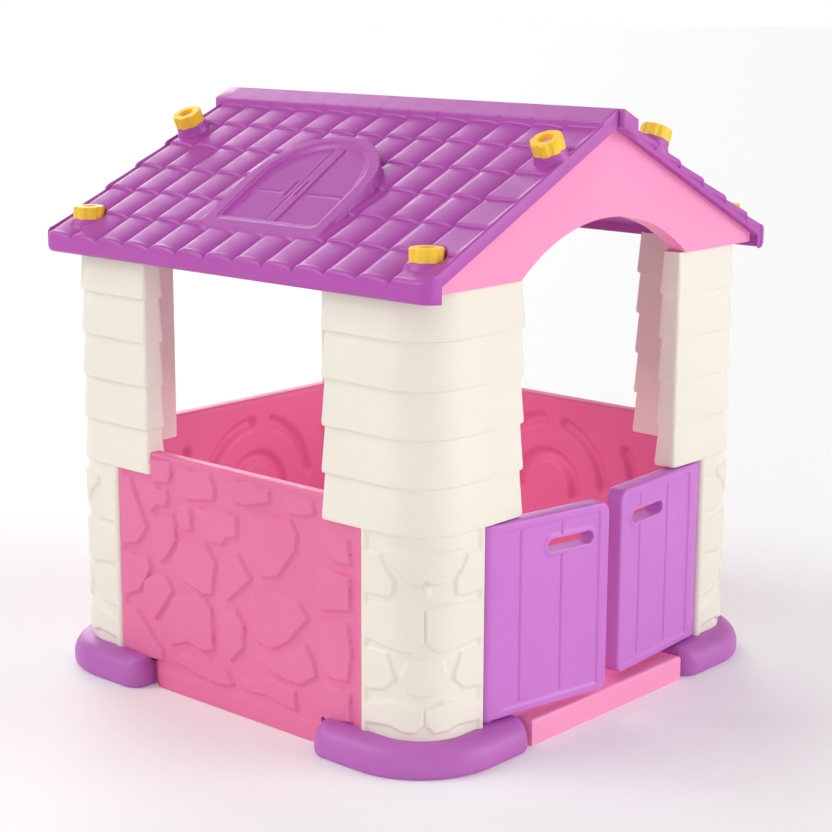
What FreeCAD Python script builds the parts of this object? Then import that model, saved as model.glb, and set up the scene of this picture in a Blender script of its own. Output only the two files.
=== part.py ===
import FreeCAD, Part
import os
import re

import Sketcher
from FreeCAD import Placement, Rotation, Vector

# A child's play house of blow-moulded plastic, in millimetres.
# +Z is up, the front with the two door leaves faces -Y, and the ridge runs along Y.
# The origin is on the floor, under the middle of the house.

SIZES = {
    # the plan: four corner pillars
    "face_x": (500, "middle of the house to a pillar's outer side face"),
    "face_y": (489, "middle of the house to a pillar's outer front or back face"),
    "corner_radius": (103, "outer corner of a pillar"),
    "upper_wing": (255, "length of each wing of a pillar above the notch"),
    "lower_wing": (160, "length of each wing of a pillar below the notch"),
    "wing_depth": (50, "thickness of a pillar's wings"),
    "wing_rounding": (9, "rounding of the upright edges at a wing's end"),
    # heights above the floor
    "foot_height": (59, "top of the feet"),
    "notch_height": (433, "underside of a pillar's wide upper wings"),
    "wall_top": (476, "top of the half-height walls"),
    "pillar_top": (861, "top of the pillars, and bottom of the gables"),
    "ridge_height": (1150, "top of the roof"),
    # feet
    "foot_length": (250, "pillar corner to the end of a foot"),
    "foot_overhang": (45, "how far a foot stands out past the pillar"),
    "foot_inside": (66, "pillar face to the inner edge of a foot"),
    "foot_corner": (172, "outer corner radius of a foot"),
    "foot_end": (34, "outer corner radius at the end of a foot"),
    "foot_rounding": (26, "rounding along the outer top edge of a foot"),
    "foot_soft": (8, "rounding along the inner top edge of a foot"),
    # tongues and tenons moulded into the pieces
    "joint_gap": (0.5, "clearance round a moulded tongue or tenon"),
    "tongue_near": (13, "pillar face to the near side of a tongue"),
    "tongue_depth": (18, "thickness of a tongue"),
    "tongue_length": (14, "how far a tongue reaches into its groove"),
    "tongue_low": (14, "underside of the tongues between the feet"),
    "tongue_high": (36, "top of the tongues between the feet"),
    "groove_low": (85, "underside of the groove in a pillar's lower wing"),
    "groove_high": (415, "top of the groove in a pillar's lower wing"),
    "tenon_near": (12, "pillar face to the near side of its tenon"),
    "tenon_far": (38, "pillar face to the far side of its tenon"),
    "tenon_start": (108, "pillar corner to the start of a tenon"),
    "tenon_end": (148, "pillar corner to the end of a tenon"),
    "tenon_drop": (30, "how far a pillar's tenon reaches into its foot"),
    "neighbour_gap": (10, "gap between a foot and the piece beside it"),
    # walls
    "wall_inset": (4, "outer face of a wall behind the pillar's face"),
    "wall_depth": (36, "thickness of a wall"),
    "wall_rounding": (9, "rounding along the top of a wall"),
    # doorway sill
    "sill_height": (49, "top of the sill"),
    "sill_front": (30, "front of the sill past the pillar's face"),
    "sill_back": (50, "back of the sill behind the pillar's face"),
    "sill_rounding": (6, "rounding of the sill's upper edges"),
    # door leaves
    "hinge_inset": (181, "pillar's side face to the hinge axis"),
    "leaf_depth": (36, "thickness of a door leaf"),
    "leaf_length": (288, "hinge axis to the free edge of a leaf"),
    "leaf_bottom": (63, "underside of a leaf"),
    "leaf_top": (430, "top of a leaf"),
    "leaf_corner": (22, "corner radius at the free edge"),
    "leaf_rounding": (5, "rounding of the leaf's front and back edges"),
    "panel_start": (26, "hinge axis to the sunk front panel"),
    "panel_end": (24, "sunk front panel to the free edge"),
    "panel_margin": (15, "sunk front panel to the top and bottom of the leaf"),
    "panel_sink": (3, "depth of the sunk front panel"),
    "slot_length": (114, "hand slot from end to end"),
    "slot_radius": (12.5, "half of the hand slot's height"),
    "slot_height": (369, "middle of the hand slot above the floor"),
    "slot_inset": (41, "free edge to the nearer end of the hand slot"),
    "left_ajar": (9.5, "degrees that the left leaf stands open"),
    "right_ajar": (4.5, "degrees that the right leaf stands open"),
    # hinge pins
    "pin_radius": (8, "radius of a hinge pin"),
    "pin_play": (0.08, "running clearance round a hinge pin"),
    "pin_reach": (18, "length of a hinge pin in its socket"),
    "pin_root": (26, "length of a hinge pin inside its leaf"),
    "collar_radius": (13, "collar between the leaf and its neighbour"),
    "collar_depth": (2.5, "thickness of the collar"),
    # gables
    "gable_depth": (36, "thickness of a gable"),
    "gable_half": (482, "middle of the house to the end of a gable"),
    "lap_depth": (18, "thickness of a gable's ends, in front of the eave posts"),
    "lap_run": (66, "length of a gable's thin ends"),
    "arch_radius": (406, "radius of the arch"),
    "arch_crown": (951, "height of the top of the arch"),
    "peg_start": (92, "pillar's side face to the start of a gable's peg"),
    "peg_end": (168, "pillar's side face to the end of a gable's peg"),
    "peg_drop": (20, "how far a gable's pegs reach into the pillars"),
    # roof
    "roof_slope": (26.2, "degrees that the roof falls from the level"),
    "roof_depth": (34, "upright thickness of a roof panel"),
    "roof_half_length": (505, "middle of the house to the roof's gable edge"),
    "seam": (0.6, "half of the gap between the two panels at the ridge"),
    "band_run": (46, "level width of the smooth band along the ridge"),
    "band_step": (7, "how far the band stands above the tiles"),
    "band_reach": (12, "how far one end of a panel's band runs past its gable edge"),
    "first_lip": (118, "ridge to the lip of the first course, measured level"),
    "course_run": (80.3, "level distance from lip to lip"),
    "course_step": (7, "drop below each lip"),
    "eave_half": (524, "middle of the house to the outer face of the eave"),
    "eave_rim": (16, "thickness of the rim under the eave"),
    "eave_bottom": (848, "underside of that rim"),
    "roof_corner": (26, "corner radius where the eave meets the gable edge"),
    # roof fixings: a stud moulded on a pillar or gable, and a hand nut
    "stud_radius": (11, "radius of a threaded stud"),
    "stud_hole": (12, "radius of the hole in the roof for a stud"),
    "stud_sunk": (7, "top of a stud below the top of its nut"),
    "post_inset": (45, "pillar faces to the upright stud"),
    "post_radius": (22, "radius of the post that carries the eave"),
    "post_top": (880, "top of that post"),
    "eave_seat": (912, "seat of the nut at the eave"),
    "boss_radius": (30.5, "radius of the bosses under the nuts"),
    "boss_flare": (44, "radius at the foot of the eave boss"),
    "boss_foot": (890, "foot of the eave boss"),
    "pocket_radius": (33, "radius of the pocket round the nut at the eave"),
    "pocket_height": (50, "height that the pocket clears above the seat"),
    "ridge_stud_run": (152.5, "ridge to the stud in the gable, measured level"),
    "ridge_boss": (16, "height of the ridge boss above the tiles"),
    "ridge_boss_flare": (33, "radius at the foot of the ridge boss"),
    "ridge_boss_root": (12, "depth of the ridge boss in the panel"),
    "stud_root": (60, "depth of the gable's stud below the tiles"),
    # hand nuts
    "nut_radius": (30.5, "radius over the lobes"),
    "nut_height": (24, "height of a nut"),
    "nut_bore": (11.4, "radius of the bore"),
    "nut_dish": (15, "radius of the dish in the top"),
    "nut_dish_depth": (4, "depth of the dish"),
    "nut_rounding": (3, "rounding of the nut's top"),
    "flute_radius": (9, "radius of the finger flutes"),
    "flute_circle": (36.5, "radius of the circle that the flutes are centred on"),
}
COURSES = 6
FLUTES = 8
OVERRUN = 5         # how far a cut runs past the face that it opens
TILE_CREST = "(ridge_height - band_step)"
LEAF_FACE = "leaf_depth / 2"

doc = FreeCAD.newDocument("PlayHouse")
sheet = doc.addObject("Spreadsheet::Sheet", "Sizes")
sub_parts = []


# ---------------------------------------------------------------- sheet and formulas

def fill_sheet():
    for row, (alias, (number, meaning)) in enumerate(SIZES.items(), start=1):
        sheet.set(f"A{row}", meaning)
        sheet.set(f"B{row}", str(number))
        sheet.setAlias(f"B{row}", alias)
    doc.recompute()


def formula(text):
    """Turn the sheet's names in a formula into references to the sheet."""
    def reference(word):
        return f"Sizes.{word[0]}" if word[0] in SIZES else word[0]
    return re.sub(r"[a-z_]\w*", reference, str(text))


def size(text):
    """The number that a formula in the sheet's names comes to."""
    return float(sheet.evalExpression(formula(text)))


def bind(feature, **formulas):
    """Tie properties to formulas; a double underscore stands for the dot in a property's path."""
    for path, text in formulas.items():
        feature.setExpression(path.replace("__", "."), formula(text))


def crest_at(run):
    """Height of the tile crests at a level distance from the ridge."""
    return f"{TILE_CREST} - ({run}) * tan(roof_slope)"


def underside_at(run):
    """Height of the roof's underside at a level distance from the ridge."""
    return f"ridge_height - roof_depth - ({run}) * tan(roof_slope)"


# ---------------------------------------------------------------- sketches and features

def new_body(label, position=(0, 0, 0), turn=0):
    """A piece with its own name, turned about the upright axis and then moved into place."""
    body = doc.addObject("PartDesign::Body", label)
    body.Label = label
    body.Placement = Placement(Vector(*position), Rotation(Vector(0, 0, 1), turn))
    sub_parts.append(body)
    return body


def origin_plane(body, role):
    return next(item for item in body.Origin.OriginFeatures if item.Role == role)


def sketch_on(body, role, level="0"):
    """An empty sketch on one of the body's own origin planes, lifted along the plane's normal."""
    sketch = body.newObject("Sketcher::SketchObject", "Outline")
    sketch.AttachmentSupport = [(origin_plane(body, role), "")]
    sketch.MapMode = "FlatFace"
    bind(sketch, AttachmentOffset__Base__z=level)
    return sketch


def upright_sketch(body, along):
    """A sketch that shows X and Z, at a place along Y. A pad on it grows towards -Y."""
    return sketch_on(body, "XZ_Plane", f"-({along})")


def constrain(sketch, text, kind, *where):
    number = sketch.addConstraint(Sketcher.Constraint(kind, *where, size(text)))
    sketch.setExpression(f"Constraints[{number}]", formula(text))


def draw_polygon(sketch, corners):
    """A closed outline of straight edges; each corner is a pair of formulas."""
    places = [Vector(size(across), size(up), 0) for across, up in corners]
    count = len(places)
    for index, place in enumerate(places):
        sketch.addGeometry(Part.LineSegment(place, places[(index + 1) % count]))
    for index, (across, up) in enumerate(corners):
        sketch.addConstraint(Sketcher.Constraint("Coincident", index, 2, (index + 1) % count, 1))
        constrain(sketch, across, "DistanceX", -1, 1, index, 1)
        constrain(sketch, up, "DistanceY", -1, 1, index, 1)


def draw_rectangle(sketch, low_x, low_y, high_x, high_y):
    draw_polygon(sketch, [(low_x, low_y), (high_x, low_y), (high_x, high_y), (low_x, high_y)])


def draw_circle(sketch, across, up, radius):
    middle = Vector(size(across), size(up), 0)
    edge = sketch.addGeometry(Part.Circle(middle, Vector(0, 0, 1), size(radius)))
    constrain(sketch, radius, "Radius", edge)
    constrain(sketch, across, "DistanceX", -1, 1, edge, 3)
    constrain(sketch, up, "DistanceY", -1, 1, edge, 3)


def extrude(body, kind, sketch, length, reverse, both_ways):
    feature = body.newObject(f"PartDesign::{kind}", kind)
    feature.Profile = sketch
    feature.Reversed = reverse
    feature.SideType = "Symmetric" if both_ways else "One side"
    bind(feature, Length=length)
    doc.recompute()
    return feature


def pad(body, sketch, length, both_ways=False):
    """Grow the sketch along its normal."""
    return extrude(body, "Pad", sketch, length, False, both_ways)


def pocket(body, sketch, length, both_ways=False):
    """Cut along the sketch's normal; stop if nothing was removed."""
    before = body.Shape.Volume
    feature = extrude(body, "Pocket", sketch, length, True, both_ways)
    if body.Shape.Volume > before - 1:
        raise RuntimeError(f"a pocket in {body.Label} cuts nothing")
    return feature


def fillet(body, radius, chosen):
    """Round the edges of the body's tip that the test picks."""
    base = body.Tip
    names = [f"Edge{index}" for index, edge in enumerate(base.Shape.Edges, start=1) if chosen(edge)]
    if not names:
        raise RuntimeError(f"no edge to round on {body.Label}")
    feature = body.newObject("PartDesign::Fillet", "Fillet")
    feature.Base = (base, names)
    bind(feature, Radius=radius)
    doc.recompute()
    return feature


def round_bar(body, kind, position, tilt="0", **sizes):
    """A PartDesign cylinder or cone, tilted about Y by a formula in degrees."""
    feature = body.newObject(f"PartDesign::{kind}", kind)
    feature.AttachmentSupport = [(origin_plane(body, "XY_Plane"), "")]
    feature.MapMode = "FlatFace"
    feature.AttachmentOffset = Placement(Vector(), Rotation(Vector(0, 1, 0), 1))
    across, along, up = position
    bind(feature, AttachmentOffset__Base__x=across, AttachmentOffset__Base__y=along,
         AttachmentOffset__Base__z=up, AttachmentOffset__Rotation__Angle=tilt, **sizes)
    doc.recompute()
    return feature


# ---------------------------------------------------------------- tests that pick edges

def near(value, text):
    return abs(value - size(text)) < 0.05


def is_upright(edge):
    return edge.BoundBox.XLength < 0.01 and edge.BoundBox.YLength < 0.01


def upright_at(edge, across, along):
    return is_upright(edge) and near(edge.BoundBox.XMin, across) and near(edge.BoundBox.YMin, along)


def level_at(edge, up):
    """Whether the whole edge lies at one height."""
    return edge.BoundBox.ZLength < 0.01 and near(edge.BoundBox.ZMin, up)


# ---------------------------------------------------------------- wings of feet and pillars

# The frame of a foot or pillar has its origin under the pillar's outer corner.
# Wing 0 runs along +X and wing 1 along +Y.

def wing_point(wing, along_wing, from_face):
    return (along_wing, from_face) if wing == 0 else (from_face, along_wing)


def wing_rectangle(body, wing, level, start, near_face, end, far_face):
    """A sketch of a rectangle in the plan of one wing."""
    sketch = sketch_on(body, "XY_Plane", level)
    low = wing_point(wing, start, near_face)
    high = wing_point(wing, end, far_face)
    draw_rectangle(sketch, *low, *high)
    return sketch


def cut_slot(body, wing, bottom, top, start, near_face, end, far_face):
    """An upright slot in one wing, joint_gap wider than the tongue that it takes."""
    sketch = wing_rectangle(body, wing, bottom, f"{start} - joint_gap", f"{near_face} - joint_gap",
                            f"{end} + joint_gap", f"{far_face} + joint_gap")
    return pocket(body, sketch, f"({top}) - ({bottom})")


def cut_hinge_socket(body, wing, bottom, top):
    """A blind round socket for a hinge pin."""
    sketch = sketch_on(body, "XY_Plane", bottom)
    across, along = wing_point(wing, "hinge_inset", LEAF_FACE)
    draw_circle(sketch, across, along, "pin_radius + pin_play")
    return pocket(body, sketch, f"({top}) - ({bottom})")


def corner_outline(body, level, outer, wing_end, inner):
    """The L-shaped plan of a foot or pillar."""
    sketch = sketch_on(body, "XY_Plane", level)
    draw_polygon(sketch, [(outer, outer), (wing_end, outer), (wing_end, inner),
                          (inner, inner), (inner, wing_end), (outer, wing_end)])
    return sketch


# ---------------------------------------------------------------- feet

def inside_corner(edge):
    """Whether an edge of a foot is one of the two that face the inside of the house."""
    return near(edge.BoundBox.XMin, "foot_inside") or near(edge.BoundBox.YMin, "foot_inside")


def add_foot(label, position, turn, hinge_wing=None):
    body = new_body(label, position, turn)
    outer = "-foot_overhang"
    pad(body, corner_outline(body, "0", outer, "foot_length", "foot_inside"), "foot_height")
    fillet(body, "foot_corner", lambda edge: upright_at(edge, outer, outer))
    fillet(body, "foot_end", lambda edge: upright_at(edge, "foot_length", outer)
           or upright_at(edge, outer, "foot_length"))
    fillet(body, "foot_rounding", lambda edge: level_at(edge, "foot_height") and not inside_corner(edge))
    fillet(body, "foot_soft", lambda edge: level_at(edge, "foot_height") and inside_corner(edge))
    for wing in (0, 1):
        cut_slot(body, wing, "foot_height - tenon_drop - joint_gap", f"foot_height + {OVERRUN}",
                 "tenon_start", "tenon_near", "tenon_end", "tenon_far")
        cut_slot(body, wing, "tongue_low - joint_gap", "tongue_high + joint_gap",
                 "foot_length - tongue_length", "tongue_near",
                 f"foot_length + {OVERRUN}", "tongue_near + tongue_depth")
    if hinge_wing is not None:
        cut_hinge_socket(body, hinge_wing, "foot_height - pin_reach - 1", f"foot_height + {OVERRUN}")


# ---------------------------------------------------------------- pillars

def add_pillar(label, position, turn, walled_wings, gable_wing, hinge_wing=None):
    body = new_body(label, position, turn)
    pad(body, corner_outline(body, "foot_height", "0", "lower_wing", "wing_depth"),
        "notch_height - foot_height")
    pad(body, corner_outline(body, "notch_height", "0", "upper_wing", "wing_depth"),
        "pillar_top - notch_height")
    fillet(body, "corner_radius", lambda edge: upright_at(edge, "0", "0"))
    fillet(body, "corner_radius - wing_depth", lambda edge: upright_at(edge, "wing_depth", "wing_depth"))
    ends = [wing_point(wing, end, face) for wing in (0, 1) for end in ("lower_wing", "upper_wing")
            for face in ("0", "wing_depth")]
    fillet(body, "wing_rounding", lambda edge: any(upright_at(edge, *end) for end in ends))

    for wing in (0, 1):
        pad(body, wing_rectangle(body, wing, "foot_height - tenon_drop", "tenon_start", "tenon_near",
                                 "tenon_end", "tenon_far"), "tenon_drop")
    for wing in walled_wings:
        cut_slot(body, wing, "groove_low - joint_gap", "groove_high + joint_gap",
                 "lower_wing - tongue_length", "tongue_near",
                 f"lower_wing + {OVERRUN}", "tongue_near + tongue_depth")
        cut_slot(body, wing, f"notch_height - {OVERRUN}", "wall_top + joint_gap",
                 "lower_wing + joint_gap", "wall_inset", f"upper_wing + {OVERRUN}",
                 "wall_inset + wall_depth")
    cut_slot(body, gable_wing, "pillar_top - peg_drop - joint_gap", f"pillar_top + {OVERRUN}",
             "peg_start", "lap_depth", "peg_end", "gable_depth - 2")
    if hinge_wing is not None:
        cut_hinge_socket(body, hinge_wing, f"notch_height - {OVERRUN}", "notch_height + pin_reach + 1")

    for radius, bottom, top in (("post_radius", "pillar_top - 1", "post_top"),
                                ("stud_radius", "post_top - 1", "eave_seat + nut_height - stud_sunk")):
        sketch = sketch_on(body, "XY_Plane", bottom)
        draw_circle(sketch, "post_inset", "post_inset", radius)
        pad(body, sketch, f"({top}) - ({bottom})")


# ---------------------------------------------------------------- walls and sill

def add_wall(label, position, turn, face):
    """A half-height wall between two pillars; face is the middle of the house to their outer faces."""
    body = new_body(label, position, turn)
    half = f"({face} - lower_wing - joint_gap)"
    block = f"({face} - foot_length - neighbour_gap)"
    above_foot = "foot_height + 1"
    back = "wall_inset + wall_depth"
    sketch = upright_sketch(body, back)
    draw_polygon(sketch, [(f"-{half}", above_foot), (f"-{block}", above_foot), (f"-{block}", "0"),
                          (block, "0"), (block, above_foot), (half, above_foot),
                          (half, "wall_top"), (f"-{half}", "wall_top")])
    pad(body, sketch, "wall_depth")
    fillet(body, "wall_rounding", lambda edge: level_at(edge, "wall_top") and edge.BoundBox.YLength < 0.01)
    tongues = ((half, f"{face} - lower_wing + tongue_length", "groove_low", "groove_high"),
               (block, f"{face} - foot_length + tongue_length", "tongue_low", "tongue_high"))
    for start, end, low, high in tongues:
        for side in ("", "-"):
            sketch = upright_sketch(body, "tongue_near + tongue_depth")
            draw_rectangle(sketch, f"{side}({start} - 1)", low, f"{side}({end} - joint_gap)", high)
            pad(body, sketch, "tongue_depth")


def add_sill():
    body = new_body("door_sill", (0, -size("face_y"), 0))
    half = "(face_x - foot_length - neighbour_gap)"
    sketch = sketch_on(body, "XY_Plane")
    draw_rectangle(sketch, f"-{half}", "-sill_front", half, "sill_back")
    pad(body, sketch, "sill_height")
    fillet(body, "sill_rounding", lambda edge: level_at(edge, "sill_height"))
    for side in ("", "-"):
        sketch = upright_sketch(body, "tongue_near + tongue_depth")
        end = f"{side}(face_x - foot_length + tongue_length - joint_gap)"
        draw_rectangle(sketch, f"{side}({half} - 1)", "tongue_low", end, "tongue_high")
        pad(body, sketch, "tongue_depth")


# ---------------------------------------------------------------- gables

def gable_outline(body, back, half):
    sketch = upright_sketch(body, back)
    draw_polygon(sketch, [(f"-{half}", "pillar_top"), (half, "pillar_top"), (half, underside_at(half)),
                          ("0", underside_at("0")), (f"-{half}", underside_at(half))])
    return sketch


def add_gable(label, position, turn):
    """An arched gable. Its ends are thin, so that they pass in front of the pillars' posts."""
    body = new_body(label, position, turn)
    pad(body, gable_outline(body, "lap_depth", "gable_half"), "lap_depth")
    pad(body, gable_outline(body, "gable_depth", "(gable_half - lap_run)"), "gable_depth - lap_depth")
    sketch = upright_sketch(body, "gable_depth / 2")
    draw_circle(sketch, "0", "arch_crown - arch_radius", "arch_radius")
    pocket(body, sketch, f"gable_depth + {OVERRUN}", both_ways=True)
    for side in ("", "-"):
        sketch = upright_sketch(body, "gable_depth - 2")
        draw_rectangle(sketch, f"{side}(face_x - peg_start)", "pillar_top - peg_drop",
                       f"{side}(face_x - peg_end)", "pillar_top + 1")
        pad(body, sketch, "gable_depth - 2 - lap_depth")
        root = (f"{side}(ridge_stud_run - stud_root * sin(roof_slope))", "gable_depth / 2",
                f"{crest_at('ridge_stud_run')} - stud_root * cos(roof_slope)")
        round_bar(body, "AdditiveCylinder", root, f"{side}roof_slope", Radius="stud_radius",
                  Height="stud_root + ridge_boss + nut_height - stud_sunk")


# ---------------------------------------------------------------- roof

def roof_profile(body):
    """The section of a panel: a smooth band at the ridge, then courses that each end in a lip."""
    corners = [("seam", "ridge_height"), ("band_run", "ridge_height - band_run * tan(roof_slope)"),
               ("band_run", f"{crest_at('band_run')} - course_step")]
    for course in range(COURSES):
        lip = f"(first_lip + {course} * course_run)"
        corners.append((lip, crest_at(lip)))
        corners.append((lip, f"{crest_at(lip)} - course_step"))
    last = f"(first_lip + {COURSES - 1} * course_run)"
    corners[-1] = ("eave_half", f"{crest_at(last)} - course_step")
    corners += [("eave_half", "eave_bottom"), ("seam", "eave_bottom")]
    sketch = sketch_on(body, "XZ_Plane")
    draw_polygon(sketch, corners)
    return sketch


def band_profile(body):
    """The section of the band along the ridge, with the panel's whole thickness."""
    sketch = upright_sketch(body, "band_reach - roof_half_length")
    draw_polygon(sketch, [("seam", "ridge_height"), ("band_run", "ridge_height - band_run * tan(roof_slope)"),
                          ("band_run", underside_at("band_run")), ("seam", underside_at("seam"))])
    return sketch


def hollow_under_roof(body):
    """Clear the space below the underside, inside the rim at the eave."""
    rim = "(eave_half - eave_rim)"
    sketch = sketch_on(body, "XZ_Plane")
    draw_polygon(sketch, [(f"seam - {OVERRUN}", f"eave_bottom - {OVERRUN}"),
                          (rim, f"eave_bottom - {OVERRUN}"),
                          (rim, underside_at(rim)), (f"seam - {OVERRUN}", underside_at(f"seam - {OVERRUN}"))])
    pocket(body, sketch, f"2 * roof_half_length + {OVERRUN}", both_ways=True)


def add_roof_panel(label, turn):
    body = new_body(label, turn=turn)
    pad(body, roof_profile(body), "2 * roof_half_length", both_ways=True)
    fillet(body, "roof_corner", lambda edge: is_upright(edge) and near(edge.BoundBox.XMin, "eave_half"))
    pad(body, band_profile(body), "2 * band_reach")
    post = "face_x - post_inset"
    for side in ("", "-"):
        post_along = f"{side}(face_y - post_inset)"
        stud_along = f"{side}(face_y - gable_depth / 2)"
        sunk_foot = ("ridge_stud_run - ridge_boss_root * sin(roof_slope)", stud_along,
                     f"{crest_at('ridge_stud_run')} - ridge_boss_root * cos(roof_slope)")
        round_bar(body, "AdditiveCone", (post, post_along, "boss_foot"), Radius1="boss_flare",
                  Radius2="boss_radius", Height="eave_seat - boss_foot")
        round_bar(body, "AdditiveCone", sunk_foot, "roof_slope", Radius1="ridge_boss_flare",
                  Radius2="boss_radius", Height="ridge_boss_root + ridge_boss")
        round_bar(body, "SubtractiveCylinder", (post, post_along, "eave_seat"),
                  Radius="pocket_radius", Height="pocket_height")
    hollow_under_roof(body)
    for side in ("", "-"):
        post_along = f"{side}(face_y - post_inset)"
        stud_along = f"{side}(face_y - gable_depth / 2)"
        stud_root = ("ridge_stud_run - stud_root * sin(roof_slope)", stud_along,
                     f"{crest_at('ridge_stud_run')} - stud_root * cos(roof_slope)")
        round_bar(body, "AdditiveCylinder", (post, post_along, "post_top"),
                  Radius="post_radius", Height="eave_seat - post_top - 1")
        round_bar(body, "SubtractiveCylinder", (post, post_along, "pillar_top"),
                  Radius="stud_hole", Height="2 * pocket_height")
        round_bar(body, "SubtractiveCylinder", stud_root, "roof_slope",
                  Radius="stud_hole", Height="2 * stud_root")


# ---------------------------------------------------------------- doors

def add_leaf(label, position, turn, side):
    """A door leaf. Its frame's origin is on the hinge axis; side is "" or "-" for a leaf along +X or -X."""
    body = new_body(label, position, turn)
    sketch = upright_sketch(body, LEAF_FACE)
    draw_rectangle(sketch, "0", "leaf_bottom", f"{side}leaf_length", "leaf_top")
    pad(body, sketch, "leaf_depth")
    fillet(body, "leaf_corner", lambda edge: edge.BoundBox.YLength > 1 and near(edge.BoundBox.XMin,
                                                                               f"{side}leaf_length"))
    fillet(body, "leaf_rounding",
           lambda edge: edge.BoundBox.YLength < 0.01 and not near(edge.BoundBox.XMax, "0")
           and not near(edge.BoundBox.XMin, "0")
           or edge.BoundBox.YLength < 0.01 and edge.BoundBox.XLength > 1)
    round_bar(body, "AdditiveCylinder", ("0", "0", "leaf_bottom"), Radius=LEAF_FACE,
              Height="leaf_top - leaf_bottom")

    sketch = upright_sketch(body, f"-{LEAF_FACE} + panel_sink")
    draw_rectangle(sketch, f"{side}panel_start", "leaf_bottom + panel_margin",
                   f"{side}(leaf_length - panel_end)", "leaf_top - panel_margin")
    pocket(body, sketch, f"panel_sink + {OVERRUN}")

    slot_end = "(leaf_length - slot_inset - slot_radius)"
    slot_start = "(leaf_length - slot_inset - slot_length + slot_radius)"
    sketch = upright_sketch(body, "0")
    draw_rectangle(sketch, f"{side}{slot_start}", "slot_height - slot_radius",
                   f"{side}{slot_end}", "slot_height + slot_radius")
    pocket(body, sketch, f"leaf_depth + {OVERRUN}", both_ways=True)
    for middle in (slot_start, slot_end):
        sketch = upright_sketch(body, "0")
        draw_circle(sketch, f"{side}{middle}", "slot_height", "slot_radius")
        pocket(body, sketch, f"leaf_depth + {OVERRUN}", both_ways=True)
    for bottom in ("leaf_bottom - 1", "leaf_top - pin_root"):
        round_bar(body, "SubtractiveCylinder", ("0", "0", bottom), Radius="pin_radius",
                  Height="pin_root + 1")


def add_pin(label, position, upper):
    """A hinge pin with a collar; its root is pressed into the leaf and its tip turns in a socket."""
    body = new_body(label, position)
    if upper:
        bottom, top, collar = "leaf_top - pin_root", "notch_height + pin_reach", "leaf_top"
    else:
        bottom, top = "foot_height - pin_reach", "leaf_bottom + pin_root"
        collar = "leaf_bottom - collar_depth"
    round_bar(body, "AdditiveCylinder", ("0", "0", bottom), Radius="pin_radius",
              Height=f"({top}) - ({bottom})")
    round_bar(body, "AdditiveCylinder", ("0", "0", collar), Radius="collar_radius", Height="collar_depth")


# ---------------------------------------------------------------- hand nuts

def add_nut(label, position, tilt_degrees):
    body = new_body(label)
    body.Placement = Placement(Vector(*position), Rotation(Vector(0, 1, 0), tilt_degrees))
    sketch = sketch_on(body, "XY_Plane")
    draw_circle(sketch, "0", "0", "nut_radius")
    pad(body, sketch, "nut_height")
    fillet(body, "nut_rounding", lambda edge: level_at(edge, "nut_height"))
    sketch = sketch_on(body, "XY_Plane", f"-{OVERRUN}")
    draw_circle(sketch, "flute_circle", "0", "flute_radius")
    flute = pocket(body, sketch, f"nut_height + {2 * OVERRUN}")
    flutes = body.newObject("PartDesign::PolarPattern", "Flutes")
    flutes.Originals = [flute]
    flutes.Axis = (sketch, ["N_Axis"])
    flutes.Occurrences = FLUTES
    body.Tip = flutes
    doc.recompute()
    for level, radius in ((f"-{OVERRUN}", "nut_bore"), ("nut_height - nut_dish_depth", "nut_dish")):
        sketch = sketch_on(body, "XY_Plane", level)
        draw_circle(sketch, "0", "0", radius)
        pocket(body, sketch, f"nut_height + {2 * OVERRUN}")


# ---------------------------------------------------------------- the whole house

def add_corners():
    face_x = size("face_x")
    face_y = size("face_y")
    # name, corner, turn, wings with a wall, wing under the gable, wing with a door hinge
    corners = [
        ("front_left", (-face_x, -face_y, 0), 0, [1], 0, 0),
        ("front_right", (face_x, -face_y, 0), 90, [0], 1, 1),
        ("back_right", (face_x, face_y, 0), 180, [0, 1], 0, None),
        ("back_left", (-face_x, face_y, 0), 270, [0, 1], 1, None),
    ]
    for name, place, turn, walled, gable_wing, hinge_wing in corners:
        add_foot(f"foot_{name}", place, turn, hinge_wing)
        add_pillar(f"pillar_{name}", place, turn, walled, gable_wing, hinge_wing)


def add_panels():
    face_x = size("face_x")
    face_y = size("face_y")
    add_wall("wall_left", (-face_x, 0, 0), -90, "face_y")
    add_wall("wall_right", (face_x, 0, 0), 90, "face_y")
    add_wall("wall_back", (0, face_y, 0), 180, "face_x")
    add_gable("gable_front", (0, -face_y, 0), 0)
    add_gable("gable_back", (0, face_y, 0), 180)
    add_roof_panel("roof_right", 0)
    add_roof_panel("roof_left", 180)


def add_doors():
    across = size("face_x - hinge_inset")
    along = size(f"{LEAF_FACE} - face_y")
    for name, place, ajar, side in (("left", (-across, along, 0), -size("left_ajar"), ""),
                                    ("right", (across, along, 0), size("right_ajar"), "-")):
        add_leaf(f"door_{name}", place, ajar, side)
        add_pin(f"hinge_pin_{name}_lower", place, upper=False)
        add_pin(f"hinge_pin_{name}_upper", place, upper=True)


def add_nuts():
    slope = size("roof_slope")
    post_x = size("face_x - post_inset")
    post_y = size("face_y - post_inset")
    stud_y = size("face_y - gable_depth / 2")
    seat_x = size("ridge_stud_run + ridge_boss * sin(roof_slope)")
    seat_z = size(f"{crest_at('ridge_stud_run')} + ridge_boss * cos(roof_slope)")
    for end, toward_y in (("front", -1), ("back", 1)):
        for wing, toward_x in (("left", -1), ("right", 1)):
            eave_place = (toward_x * post_x, toward_y * post_y, size("eave_seat"))
            ridge_place = (toward_x * seat_x, toward_y * stud_y, seat_z)
            add_nut(f"roof_nut_eave_{end}_{wing}", eave_place, 0)
            add_nut(f"roof_nut_ridge_{end}_{wing}", ridge_place, toward_x * slope)


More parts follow.
